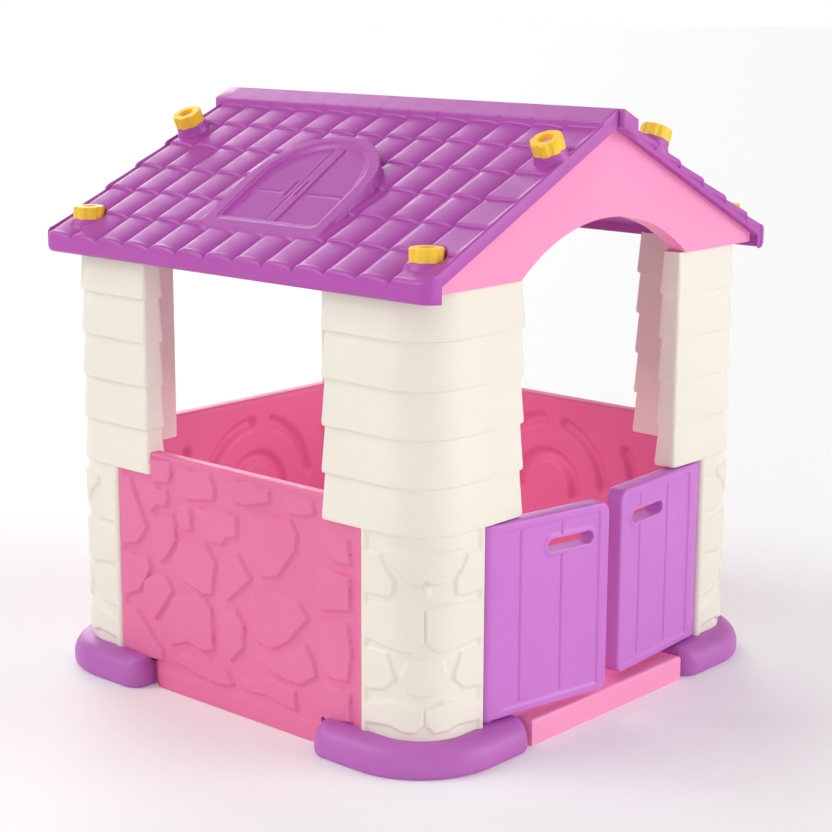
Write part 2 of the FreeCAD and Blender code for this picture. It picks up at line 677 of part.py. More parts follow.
def check_document():
    for item in doc.Objects:
        if "Invalid" in item.State or "Error" in item.State:
            raise RuntimeError(f"{item.Label} failed: {item.State}")
    for body in sub_parts:
        if body.Shape.isNull() or not body.Shape.isValid() or len(body.Shape.Solids) != 1:
            raise RuntimeError(f"{body.Label} is not one valid solid")


def write_parts():
    os.makedirs("parts", exist_ok=True)
    for body in sub_parts:
        body.Shape.exportStep(f"parts/{body.Label}.step")


fill_sheet()
add_corners()
add_panels()
add_sill()
add_doors()
add_nuts()
doc.recompute()
check_document()
write_parts()
print(len(sub_parts), "sub-parts written")
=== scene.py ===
import math

import bmesh
import bpy
import numpy as np
from mathutils import Matrix, Vector


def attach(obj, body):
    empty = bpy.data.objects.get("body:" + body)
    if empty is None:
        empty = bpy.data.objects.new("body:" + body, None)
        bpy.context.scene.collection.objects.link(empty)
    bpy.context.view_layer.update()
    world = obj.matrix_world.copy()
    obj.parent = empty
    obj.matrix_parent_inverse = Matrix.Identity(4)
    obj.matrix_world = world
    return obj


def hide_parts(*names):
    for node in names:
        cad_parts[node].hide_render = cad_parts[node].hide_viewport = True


# A child's play house of blow-moulded plastic. Lengths are in millimetres until a mesh is made.
# +Z is up, the front with the door leaves faces -Y, and the ridge runs along Y.

MM = 0.001

# plan and heights, as in the CAD model
FACE_X, FACE_Y = 500, 489            # middle of the house to the pillars' outer faces
CORNER, WING_DEPTH, WING_ROUND = 103, 50, 9
UPPER_WING, LOWER_WING, FOOT_LENGTH = 255, 160, 250
FOOT_TOP, NOTCH, WALL_TOP, PILLAR_TOP, RIDGE = 59, 433, 476, 861, 1150

# roof
SLOPE = math.tan(math.radians(26.2))
LEVEL = math.cos(math.radians(26.2))
SEAM, SEAM_ROUND, BAND_RUN, BAND_STEP, BAND_REACH = 0.9, 2.5, 46, 7, 12
FIRST_LIP, COURSE_RUN, COURSES = 118, 80.3, 6
EAVE, EAVE_RIM, EAVE_BOTTOM, ROOF_HALF, ROOF_CORNER, ROOF_DEPTH = 524, 16, 848, 505, 26, 34
NOSE = 12                            # rounding of the eave, above and below
BARRELS, BARREL_PITCH, BARREL_START = 12, 76.4, 498
EAVE_SEAT, EAVE_NUT = 912, (455, 444)
RIDGE_NUT = (152.5, 471)

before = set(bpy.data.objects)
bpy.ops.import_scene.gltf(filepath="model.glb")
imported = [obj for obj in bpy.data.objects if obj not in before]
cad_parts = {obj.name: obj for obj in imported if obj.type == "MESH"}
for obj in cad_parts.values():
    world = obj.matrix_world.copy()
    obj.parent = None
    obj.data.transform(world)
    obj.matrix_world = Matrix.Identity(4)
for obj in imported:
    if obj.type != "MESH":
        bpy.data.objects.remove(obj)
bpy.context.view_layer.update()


# ---------------------------------------------------------------- numbers and meshes

def smooth(low, high, value):
    """0 below low, 1 above high, and a soft S between them."""
    t = np.clip((value - low) / (high - low), 0, 1)
    return t * t * (3 - 2 * t)


def spread(low, high, step):
    """Even stations from low to high, about step apart."""
    return np.linspace(low, high, max(2, int(round(abs(high - low) / step)) + 1))


def stations(*parts):
    """Sorted stations, with near doubles taken out."""
    values = np.sort(np.concatenate([np.atleast_1d(np.asarray(part, float)) for part in parts]))
    keep = np.concatenate([[True], np.diff(values) > 0.05])
    return values[keep]


def corner_drop(radius, past):
    """How far a quarter-round of this radius has fallen away, past millimetres into it."""
    return radius - np.sqrt(radius ** 2 - np.clip(past, 0, radius) ** 2)


def polygon_distance(polygon, across, up):
    """Signed distance from a closed outline, negative inside it."""
    nearest = np.full(np.shape(across), 1e9)
    inside = np.zeros(np.shape(across), bool)
    for (x0, y0), (x1, y1) in zip(polygon, polygon[1:] + polygon[:1]):
        dx, dy = x1 - x0, y1 - y0
        t = np.clip(((across - x0) * dx + (up - y0) * dy) / (dx * dx + dy * dy), 0, 1)
        nearest = np.minimum(nearest, np.hypot(across - x0 - t * dx, up - y0 - t * dy))
        if dy:
            crosses = ((y0 > up) != (y1 > up)) & (across < x0 + (up - y0) / dy * dx)
            inside ^= crosses
    return np.where(inside, -nearest, nearest)


def raised(polygons, across, up, edge):
    """1 on top of the raised outlines and 0 between them, with soft edges."""
    height = np.zeros(np.shape(across))
    for polygon in polygons:
        xs, ys = zip(*polygon)
        near = ((across > min(xs) - edge) & (across < max(xs) + edge)
                & (up > min(ys) - edge) & (up < max(ys) + edge))
        if near.any():
            away = polygon_distance(polygon, across[near], up[near])
            height[near] = np.maximum(height[near], smooth(edge, 0.5, away))
    return height


def new_piece(name, points, faces, sharp=50):
    """A smooth-shaded mesh object from points in millimetres, its faces turned outward."""
    points = np.asarray(points, float)
    mesh = bpy.data.meshes.new(name)
    mesh.from_pydata((points * MM).tolist(), [], faces)
    mesh.validate()
    piece = bpy.data.objects.new(name, mesh)
    bpy.context.scene.collection.objects.link(piece)
    tidy_mesh(piece, sharp)
    return piece


def tidy_mesh(piece, sharp):
    """Merge doubled points, turn the faces outward and shade smooth, with sharp edges kept."""
    work = bmesh.new()
    work.from_mesh(piece.data)
    bmesh.ops.remove_doubles(work, verts=work.verts, dist=2e-5)
    bmesh.ops.recalc_face_normals(work, faces=work.faces)
    work.to_mesh(piece.data)
    work.free()
    piece.data.shade_smooth()
    piece.data.set_sharp_from_angle(angle=math.radians(sharp))


def loft(name, loops, sharp=50):
    """A closed skin through a row of closed loops, all with the same count of points."""
    loops = np.asarray(loops, float)
    rows, count, _ = loops.shape
    here = np.arange(count)
    after = np.roll(here, -1)
    base = (np.arange(rows - 1) * count)[:, None]
    quads = np.stack([base + here, base + after, base + count + after, base + count + here], axis=-1)
    faces = quads.reshape(-1, 4).tolist()
    faces.append(here[::-1].tolist())
    faces.append((here + (rows - 1) * count).tolist())
    return new_piece(name, loops.reshape(-1, 3), faces, sharp)


def join(name, pieces):
    """One object out of several."""
    bpy.ops.object.select_all(action="DESELECT")
    for piece in pieces:
        piece.select_set(True)
    bpy.context.view_layer.objects.active = pieces[0]
    bpy.ops.object.join()
    pieces[0].name = name
    return pieces[0]


def finish_piece(piece, body, slot, material, *nodes):
    """Give a piece its material, and let it ride a body in the place of CAD nodes. slot is not used."""
    piece.data.materials.clear()
    piece.data.materials.append(material)
    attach(piece, body)
    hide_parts(*nodes)
    return piece


def cut(piece, tool):
    """Cut the tool out of a piece, and remove the tool."""
    step = piece.modifiers.new("cut", "BOOLEAN")
    step.operation = "DIFFERENCE"
    step.solver = "EXACT"
    step.object = tool
    bpy.context.view_layer.update()
    result = bpy.data.meshes.new_from_object(piece.evaluated_get(bpy.context.evaluated_depsgraph_get()))
    piece.modifiers.clear()
    piece.data = result
    bpy.data.objects.remove(tool)
    return piece


def place(piece, matrix):
    """Move a piece's mesh, with its faces still outward after a mirror."""
    piece.data.transform(matrix)
    if matrix.determinant() < 0:
        piece.data.flip_normals()
    return piece


def copy_of(piece, name, matrix):
    """A moved copy of a piece, with a mesh of its own."""
    twin = piece.copy()
    twin.data = piece.data.copy()
    twin.name = name
    twin.data.name = name
    bpy.context.scene.collection.objects.link(twin)
    return place(twin, matrix)


# ---------------------------------------------------------------- moulded plastic

def plastic(name, colour, deep, roughness=0.42):
    """Moulded plastic: slow colour drift, a fine orange-peel skin, slightly wavy walls, and edges
    rubbed a little lighter. deep is the colour that it drifts towards in thicker places."""
    material = bpy.data.materials.new(name)
    material.use_nodes = True
    nodes, links = material.node_tree.nodes, material.node_tree.links
    nodes.clear()

    def node(kind, **settings):
        made = nodes.new(kind)
        for key, value in settings.items():
            if key in made.inputs:
                made.inputs[key].default_value = value
            else:
                setattr(made, key, value)
        return made

    output = node("ShaderNodeOutputMaterial")
    shader = node("ShaderNodeBsdfPrincipled")
    shader.inputs["IOR"].default_value = 1.5
    shader.inputs["Specular IOR Level"].default_value = 0.5
    shader.inputs["Coat Weight"].default_value = 0.12
    shader.inputs["Coat Roughness"].default_value = 0.25
    links.new(shader.outputs["BSDF"], output.inputs["Surface"])
    place_on = node("ShaderNodeTexCoord").outputs["Object"]

    def noise(scale, detail=2.0, rough=0.5):
        made = node("ShaderNodeTexNoise", Scale=scale, Detail=detail, Roughness=rough)
        links.new(place_on, made.inputs["Vector"])
        return made.outputs["Fac"]

    def between(factor, low, high, out_low, out_high):
        made = node("ShaderNodeMapRange")
        for key, value in (("From Min", low), ("From Max", high), ("To Min", out_low), ("To Max", out_high)):
            made.inputs[key].default_value = value
        links.new(factor, made.inputs["Value"])
        return made.outputs["Result"]

    def mix(factor, first, second):
        made = node("ShaderNodeMix", data_type="RGBA")
        links.new(factor, made.inputs["Factor"])
        for socket, value in ((made.inputs[6], first), (made.inputs[7], second)):
            if isinstance(value, tuple):
                socket.default_value = value
            else:
                links.new(value, socket)
        return made.outputs[2]

    drift = mix(between(noise(2.2, 3.0), 0.35, 0.65, 0.0, 1.0), colour, deep)
    speck = tuple(min(1.0, c * 0.93) for c in colour[:3]) + (1.0,)
    mottled = mix(between(noise(95.0, 4.0, 0.6), 0.52, 0.72, 0.0, 0.30), drift, speck)
    rubbed = tuple(min(1.0, c * 0.8 + 0.2) for c in colour[:3]) + (1.0,)
    edge = between(node("ShaderNodeNewGeometry").outputs["Pointiness"], 0.52, 0.60, 0.0, 0.22)
    links.new(mix(edge, mottled, rubbed), shader.inputs["Base Color"])

    links.new(between(noise(30.0, 5.0, 0.65), 0.3, 0.7, roughness - 0.06, roughness + 0.08),
              shader.inputs["Roughness"])

    wave = node("ShaderNodeBump", Strength=0.25, Distance=0.0022)
    links.new(noise(11.0, 1.5), wave.inputs["Height"])
    peel = node("ShaderNodeBump", Strength=0.35, Distance=0.00022)
    links.new(noise(620.0, 3.0, 0.55), peel.inputs["Height"])
    links.new(wave.outputs["Normal"], peel.inputs["Normal"])
    links.new(peel.outputs["Normal"], shader.inputs["Normal"])
    return material


def linear(red, green, blue):
    """A colour given as 0-255 screen values, as the shader wants it."""
    def one(value):
        value /= 255
        return value / 12.92 if value <= 0.04045 else ((value + 0.055) / 1.055) ** 2.4
    return (one(red), one(green), one(blue), 1.0)


def add_materials():
    return {
        "roof_purple": plastic("roof_plastic", linear(184, 72, 177), linear(177, 65, 170), 0.40),
        "door_purple": plastic("door_plastic", linear(208, 120, 211), linear(202, 112, 206)),
        "foot_purple": plastic("foot_plastic", linear(190, 101, 188), linear(182, 93, 180), 0.50),
        "wall_pink": plastic("wall_plastic", linear(235, 119, 167), linear(230, 111, 160), 0.55),
        "gable_pink": plastic("gable_plastic", linear(252, 148, 198), linear(248, 140, 191)),
        "pillar_cream": plastic("pillar_plastic", linear(242, 236, 223), linear(238, 231, 216)),
        "nut_yellow": plastic("nut_plastic", linear(255, 211, 0), linear(254, 203, 0), 0.42),
    }


# ---------------------------------------------------------------- pillars

CORNERS = [(True, True, "front_left"), (True, False, "front_right"),
           (False, True, "back_left"), (False, False, "back_right")]


def corner_matrix(front, left):
    """From a pillar's own frame, with its corner at the origin, to a corner of the house."""
    sx, sy = (1 if left else -1), (1 if front else -1)
    return Matrix(((sx, 0, 0, -sx * FACE_X * MM), (0, sy, 0, -sy * FACE_Y * MM),
                   (0, 0, 1, 0), (0, 0, 0, 1)))


def band_profile():
    """Heights and depths of the clapboard bands: each flares to its lower edge, then steps back."""
    bands, step_in = 5, 6.5
    run = (PILLAR_TOP - NOTCH) / bands
    one_band = [(run, step_in), (0.75 * run, 0.73 * step_in), (0.5 * run, 0.46 * step_in),
                (0.25 * run, 0.2 * step_in), (14, 0.06 * step_in), (7, 0.0),
                (3, 0.15), (1.2, 0.8), (0.3, 1.9)]
    heights, depths = [], []
    for band in range(bands):
        low = PILLAR_TOP - (band + 1) * run
        heights += [low + height for height, _ in one_band]
        depths += [depth for _, depth in one_band]
    heights[-1] = low
    return np.array(heights[::-1]), np.array(depths[::-1])


STONES_ON_PILLAR = [   # outlines on one side of the corner: distance round the corner, height
    [(-40, 404), (76, 404), (76, 391), (48, 371), (33, 352), (14, 350), (2, 358), (-40, 380)],
    [(92, 392), (140, 392), (140, 322), (84, 322), (64, 328), (60, 352), (80, 372)],
    [(4, 300), (26, 305), (62, 308), (84, 302), (140, 296), (140, 238), (84, 232), (58, 228), (24, 226),
     (4, 244)],
    [(-40, 208), (0, 210), (32, 203), (42, 178), (30, 152), (18, 146), (-40, 146)],
    [(74, 214), (140, 216), (140, 140), (84, 150), (58, 172)],
    [(4, 116), (36, 128), (68, 126), (140, 106), (140, 76), (68, 86), (42, 78), (18, 77), (6, 90)],
]


def pillar_relief(around, height):
    """How far the skin lies behind the face, on the pillar below the notch."""
    deep, edge, ball_height = 5.5, 5.5, 337
    side = np.abs(around)
    top = raised(STONES_ON_PILLAR, side, height, edge)
    ball = np.exp(-((around / 8.5) ** 2 + ((height - ball_height) / 9.5) ** 2) ** 1.5)
    top = np.maximum(top, ball)
    rim = smooth(119, 127, side)                      # plain strip at the wing ends
    return deep * (1 - np.maximum(top, rim))


def pillar_half(wing, step):
    """Half of a pillar's plan outline, from the corner's outside round one wing to its inside.
    Gives position, outward normal, distance round the corner, and the zone: 0 on the outside and the
    wing's end, 1 on the rounding behind it, 2 on the inside."""
    points = []
    for turn in spread(math.pi / 4, 0, step / CORNER):
        points.append((CORNER - CORNER * math.sin(turn), CORNER - CORNER * math.cos(turn),
                       -math.sin(turn), -math.cos(turn), CORNER * (math.pi / 4 - turn), 0))
    corner_run = CORNER * math.pi / 4
    straight_end = wing - WING_ROUND
    for along in spread(CORNER, straight_end, step)[1:]:
        points.append((along, 0, 0, -1, corner_run + along - CORNER, 0))
    last = corner_run + straight_end - CORNER
    end = last + WING_ROUND * math.pi / 2
    for turn in spread(0, math.pi / 2, 0.32)[1:]:
        points.append((straight_end + WING_ROUND * math.sin(turn), WING_ROUND * (1 - math.cos(turn)),
                       math.sin(turn), -math.cos(turn), last + WING_ROUND * turn, 0))
    for across in spread(WING_ROUND, WING_DEPTH - WING_ROUND, 11)[1:]:
        points.append((wing, across, 1, 0, end, 0))
    for turn in spread(math.pi / 2, math.pi, 0.32)[1:]:
        points.append((straight_end + WING_ROUND * math.sin(turn),
                       WING_DEPTH - WING_ROUND - WING_ROUND * math.cos(turn),
                       math.sin(turn), -math.cos(turn), end, 1))
    for along in spread(straight_end, CORNER, 14)[1:]:
        points.append((along, WING_DEPTH, 0, 1, 0, 2))
    inner = CORNER - WING_DEPTH
    for turn in spread(0, math.pi / 4, 0.13)[1:]:
        points.append((CORNER - inner * math.sin(turn), CORNER - inner * math.cos(turn),
                       math.sin(turn), math.cos(turn), 0, 2))
    return np.array(points)


def pillar_plan(wing, step):
    """The whole outline: the half, and its mirror image about the corner."""
    half = pillar_half(wing, step)
    other = half[::-1][1:-1].copy()
    other = other[:, [1, 0, 3, 2, 4, 5]]
    other[:, 4] *= -1
    return np.vstack([half, other])


def pillar_loops(plan, heights, depth_at, longer=(0, 0)):
    """Loops of the pillar's skin, sunk by depth_at(around, height) on the outside and the wing ends.
    longer is how far each wing is stretched."""
    loops = []
    x, y, nx, ny, around, zone = plan.T
    for height in heights:
        depth = np.where(zone < 1.5, depth_at(around, np.full(len(x), height)), 0.0)
        px, py = x - nx * depth, y - ny * depth
        px += longer[0] * np.clip((x - CORNER) / (x.max() - CORNER), 0, 1)
        py += longer[1] * np.clip((y - CORNER) / (y.max() - CORNER), 0, 1)
        loops.append(np.stack([px, py, np.full(len(x), height)], axis=1))
    return loops


def add_pillar_shape(front):
    """One pillar with its corner at the plan's origin: a stone-relief base and clapboard above.
    On a back pillar, the end of the wing along the back is plain."""
    heights, depths = band_profile()
    blurred = sum(np.interp(heights + shift, heights, depths) for shift in (-18, -12, -6, 0, 6, 12, 18)) / 7

    plan = pillar_plan(UPPER_WING, 5.5)
    soften_from, soften_to = 95, 185
    wing_end = CORNER * math.pi / 4 + UPPER_WING - WING_ROUND - CORNER
    loops = []
    for height, depth in zip(heights, depths):
        level = np.full(len(plan), height)
        # the steps soften along one wing, and are crisp again at its end
        fade = 0.85 * smooth(soften_from, soften_to, plan[:, 4])
        end = smooth(wing_end - 4, wing_end + 6, plan[:, 4])
        soft = np.interp(level, heights, blurred)
        own = depth * (1 - fade) + soft * fade
        own = own * (1 - end) + (depth if front else depths.mean()) * end
        loops += pillar_loops(plan, [height], lambda around, z: own, longer=(9, 1))
    upper = loft("pillar_upper", loops, 40)

    plan = pillar_plan(LOWER_WING, 3.0)
    heights = stations(spread(FOOT_TOP, NOTCH + 4, 3.0))
    loops = pillar_loops(plan, heights, pillar_relief)
    lower = loft("pillar_lower", loops, 60)
    return join("pillar", [upper, lower])


def post_and_stud(label):
    """The upright post that carries the eave, and the stud on which a nut turns."""
    inset, count = 45, 40                             # axis in from both faces, and points round it
    rings = [(22, 858), (22, 878.5), (20.5, 880), (11, 880.2), (11, 927.5), (9.6, 929)]
    loops = []
    turn = np.linspace(0, 2 * math.pi, count, endpoint=False)
    for radius, height in rings:
        loops.append(np.column_stack([inset + radius * np.cos(turn), inset + radius * np.sin(turn),
                                      np.full(count, height)]))
    return loft(label, loops, 40)


def add_pillars(material):
    shapes = {front: join("pillar", [add_pillar_shape(front), post_and_stud("post")])
              for front in (True, False)}
    for front, left, label in CORNERS:
        twin = copy_of(shapes[front], f"moulded_pillar_{label}", corner_matrix(front, left))
        finish_piece(twin, "house", "pillar_cream", material, f"pillar_{label}")
    for shape in shapes.values():
        bpy.data.objects.remove(shape)


# ---------------------------------------------------------------- feet

FOOT_OUT, FOOT_INSIDE, FOOT_CORNER, FOOT_END = 45, 66, 172, 34


def foot_plan():
    """Points and outward normals round a foot, whose wings run along +X and +Y, and how much of the
    full rounding each point takes."""
    at_end, inside, soft = 0.35, 0.2, 4               # shares of the rounding, and a corner's radius
    points = []
    centre = FOOT_CORNER - FOOT_OUT
    for turn in spread(math.pi / 4, 0, 0.05):
        points.append((centre - FOOT_CORNER * math.sin(turn), centre - FOOT_CORNER * math.cos(turn),
                       -math.sin(turn), -math.cos(turn), 1))
    bend = FOOT_LENGTH - FOOT_END
    for along in spread(centre, bend, 12)[1:]:
        points.append((along, -FOOT_OUT, 0, -1, 1))
    for turn in spread(0, math.pi / 2, 0.15)[1:]:
        points.append((bend + FOOT_END * math.sin(turn), FOOT_END - FOOT_OUT - FOOT_END * math.cos(turn),
                       math.sin(turn), -math.cos(turn), 1 - (1 - at_end) * turn / (math.pi / 2)))
    for across in spread(FOOT_END - FOOT_OUT, FOOT_INSIDE - soft, 8)[1:]:
        points.append((FOOT_LENGTH, across, 1, 0, at_end))
    for turn in spread(0, math.pi / 2, 0.4)[1:]:
        points.append((FOOT_LENGTH - soft * (1 - math.cos(turn)), FOOT_INSIDE - soft * (1 - math.sin(turn)),
                       math.cos(turn), math.sin(turn), at_end - (at_end - inside) * turn / (math.pi / 2)))
    for along in spread(FOOT_LENGTH - soft, FOOT_INSIDE, 16)[1:]:
        points.append((along, FOOT_INSIDE, 0, 1, inside))
    half = np.array(points)
    half[-1, 2:4] = math.sqrt(0.5)
    other = half[::-1][1:-1][:, [1, 0, 3, 2, 4]]
    return np.vstack([half, other])


def foot_profile(top_round, base_round):
    """Heights, and how far the side lies in from its widest line at each."""
    rows = []
    for turn in spread(0, math.pi / 2, 0.2):
        rows.append((base_round * (1 - math.cos(turn)), 0.7 * base_round * (1 - math.sin(turn))))
    for turn in spread(0, math.pi / 2, 0.12):
        rows.append((FOOT_TOP - top_round * (1 - math.sin(turn)), top_round * (1 - math.cos(turn))))
    return rows


def add_foot_shape():
    """A foot's sides roll over broadly into its top, and tuck in a little at the floor."""
    x, y, nx, ny, share = foot_plan().T
    top_round, base_round = 38, 12
    loops = []
    for height, inset in foot_profile(top_round, base_round):
        own_share = share if height > FOOT_TOP - top_round else np.minimum(1, share + 0.3)
        depth = inset * own_share
        loops.append(np.column_stack([x - nx * depth, y - ny * depth, np.full(len(x), height)]))
    return loft("foot", loops, 60)


def add_feet(material):
    shape = add_foot_shape()
    for front, left, label in CORNERS:
        twin = copy_of(shape, f"moulded_foot_{label}", corner_matrix(front, left))
        finish_piece(twin, "house", "foot_purple", material, f"foot_{label}")
    bpy.data.objects.remove(shape)


# ---------------------------------------------------------------- walls

WALL_STONES = [   # outlines on a wall: distance along it from the middle, height
    [(322, 418), (296, 414), (264, 348), (250, 324), (278, 288), (322, 280)],
    [(232, 464), (178, 462), (176, 440), (184, 425), (228, 422)],
    [(252, 404), (192, 408), (184, 394), (196, 376), (216, 378), (236, 360), (262, 384)],
    [(150, 456), (66, 460), (52, 436), (56, 415), (134, 402), (158, 420)],
    [(18, 450), (-2, 422), (-32, 420), (-96, 438), (-94, 456), (-4, 461)],
    [(-132, 456), (-206, 457), (-212, 438), (-182, 428), (-146, 429)],
    [(228, 346), (172, 362), (166, 340), (168, 312), (188, 280), (212, 260), (232, 292)],
    [(152, 386), (124, 383), (120, 344), (142, 339), (158, 352)],
    [(102, 388), (-6, 392), (-6, 353), (18, 350), (34, 332), (66, 331), (100, 346)],
    [(-42, 402), (-148, 413), (-166, 392), (-163, 361), (-116, 300), (-74, 290), (-38, 330)],
    [(150, 314), (78, 320), (54, 290), (62, 257), (64, 228), (86, 222), (150, 238), (172, 275)],
    [(34, 305), (10, 322), (-8, 320), (-26, 298), (-42, 278), (21, 225), (40, 256)],
    [(322, 258), (250, 262), (241, 243), (277, 190), (322, 172)],
    [(258, 212), (216, 240), (192, 230), (179, 208), (230, 141), (262, 168)],
    [(172, 198), (120, 213), (88, 212), (68, 196), (64, 116), (90, 106), (134, 115), (186, 98), (204, 138)],
    [(32, 202), (-2, 210), (-22, 182), (-20, 140), (14, 105), (38, 128), (42, 178)],
    [(-52, 252), (-108, 268), (-172, 256), (-193, 235), (-140, 179), (-101, 157), (-62, 161), (-38, 205)],
    [(322, 150), (287, 146), (212, 77), (211, 60), (256, 55), (322, 62)],
    [(176, 66), (150, 84), (62, 90), (26, 79), (9, 57), (52, 49), (120, 56)],
    [(-64, 130), (-102, 108), (-172, 103), (-213, 130), (-205, 155), (-187, 182), (-120, 140)],
    [(-14, 72), (-22, 56), (-78, 60), (-162, 50), (-156, 84), (-90, 92)],
    [(-238, 402), (-295, 401), (-300, 361), (-262, 358), (-232, 374)],
    [(-218, 333), (-297, 335), (-299, 274), (-258, 268), (-227, 260), (-209, 290)],
    [(-228, 238), (-293, 247), (-302, 194), (-293, 139), (-243, 137), (-219, 175)],
    [(-238, 114), (-297, 117), (-300, 64), (-239, 51), (-210, 82)],
]

INNER_RINGS = [   # grooves on the inside of a wall: radius, start and end of the arc in degrees
    (76, -8, 188), (156, 6, 84), (156, 108, 172), (240, 4, 30), (240, 152, 176),
]


def stone_face(along, height):
    """How far a wall's outer skin lies behind its face."""
    deep, bead_at = 6.5, 324
    bead = smooth(12, 4, np.abs(np.abs(along) - bead_at))
    stone = raised(WALL_STONES, along, height, 3.6)
    plain = smooth(42, 34, height)
    return deep * (1 - np.maximum(stone, np.maximum(0.35 * plain, 0.8 * bead)))


def ring_face(along, height):
    """Depth of the broad arcs pressed into a wall's inside."""
    centre, half_width, deep = 268, 18, 15
    radius = np.hypot(along, height - centre)
    angle = np.degrees(np.arctan2(height - centre, along))
    angle = np.where(angle < -90, angle + 360, angle)
    depth = np.zeros(np.shape(along))
    for ring, start, end in INNER_RINGS:
        past = np.maximum(np.maximum(start - angle, angle - end), 0) * math.pi / 180 * ring
        away = np.hypot(radius - ring, past)
        depth = np.maximum(depth, deep * smooth(half_width, 4, away))
    return depth


def wall_section(station, lowest):
    """A wall's outline at one station: up the stones, over the top, down the inside and round the foot.
    Nothing of it lies below lowest."""
    thick, top_round, foot_round = 36, 9, 3
    shoulder = WALL_TOP - top_round
    over = spread(0, math.pi / 2, 0.27)[1:-1]
    under = spread(0, math.pi / 2, 0.6)[:-1]

    face = spread(foot_round, shoulder, 3.0)
    front = np.column_stack([stone_face(np.full(len(face), -station), face), face])
    rim = np.column_stack([top_round - top_round * np.cos(over), shoulder + top_round * np.sin(over)])
    rim[:, 0] += front[-1, 0] * (1 - over / (math.pi / 2))
    lid = np.array([[top_round, WALL_TOP], [thick / 2, WALL_TOP], [thick - top_round, WALL_TOP]])
    rim_back = np.column_stack([thick - top_round + top_round * np.sin(over),
                                shoulder + top_round * np.cos(over)])
    back = spread(shoulder, foot_round, 7.0)
    rear = np.column_stack([thick - ring_face(np.full(len(back), station), back), back])
    foot_back = np.column_stack([thick - foot_round * (1 - np.cos(under[1:])),
                                 foot_round * (1 - np.sin(under[1:]))])
    foot_front = np.column_stack([foot_round * (1 - np.sin(under)), foot_round * (1 - np.cos(under))])

    section = np.vstack([front, rim, lid, rim_back, rear, foot_back, foot_front[:0:-1]])
    section[:, 1] = np.maximum(section[:, 1], lowest)
    return np.column_stack([np.full(len(section), station), section])


def wall_loops(half, block):
    """Sections of a wall along its length. Between the pillars' feet it goes down to the floor."""
    corner, sunk = 16, 5                              # the block's corner, and how far it sits in a foot
    along = stations(spread(-half, half, 3.0), [-block - 0.05, -block + 0.05, block - 0.05, block + 0.05],
                     spread(block - corner, block, 2.5), spread(-block, -block + corner, 2.5))
    loops = []
    for station in along:
        past = abs(station) - block
        lowest = FOOT_TOP - sunk if past > 0 else corner_drop(corner, past + corner)
        loops.append(wall_section(station, lowest))
    return loops


def add_wall(label, half, block, face, turn, material):
    """Local x runs along the wall, local y goes inward from its outer face."""
    piece = loft(f"moulded_wall_{label}", wall_loops(half, block), 60)
    behind_pillars = 4
    matrix = (Matrix.Rotation(math.radians(turn), 4, "Z")
              @ Matrix.Translation((0, (behind_pillars - face) * MM, 0)))
    place(piece, matrix)
    return finish_piece(piece, "house", "wall_pink", material, f"wall_{label}")


def add_walls(material):
    to_pillar, to_foot = LOWER_WING + 0.5, FOOT_LENGTH + 10
    add_wall("left", FACE_Y - to_pillar, FACE_Y - to_foot, FACE_X, -90, material)
    add_wall("right", FACE_Y - to_pillar, FACE_Y - to_foot, FACE_X, 90, material)
    add_wall("back", FACE_X - to_pillar, FACE_X - to_foot, FACE_Y, 180, material)


# ---------------------------------------------------------------- door leaves

LEAF_BOTTOM, LEAF_TOP, LEAF_LENGTH, LEAF_HALF = 63, 430, 288, 18
LEAF_CORNER, LEAF_ROUND = 22, 5
SLOT_FROM, SLOT_TO, SLOT_HEIGHT, SLOT_RADIUS = 133, 247, 369, 12.5
PANEL_START, PANEL_END, PANEL_MARGIN = 26, LEAF_LENGTH - 24, 15


def slot_distance(along, height):
    """Distance from the hand slot's outline, negative inside it."""
    low, high = SLOT_FROM + SLOT_RADIUS, SLOT_TO - SLOT_RADIUS
    return np.hypot(along - np.clip(along, low, high), height - SLOT_HEIGHT) - SLOT_RADIUS


def leaf_face(along, height, grooves):
    """Depth of a leaf's face: a sunk panel of planks inside a plain border, and a rim round the slot."""
    sunk, groove_deep = 3.0, 2.8
    inside = np.minimum(np.minimum(along - PANEL_START, PANEL_END - along),
                        np.minimum(height - LEAF_BOTTOM, LEAF_TOP - height) - PANEL_MARGIN)
    panel = sunk * smooth(-1.0, 3.0, inside)
    for groove in grooves:
        line = smooth(4.2, 0.4, np.abs(along - groove)) * smooth(2, 10, inside)
        panel = panel + groove_deep * line * smooth(5, 9, slot_distance(along, height))
    to_slot = slot_distance(along, height)
    rim = smooth(9.0, 5.5, to_slot) * smooth(-4.0, 1.5, to_slot)
    return panel * (1 - 0.92 * rim)


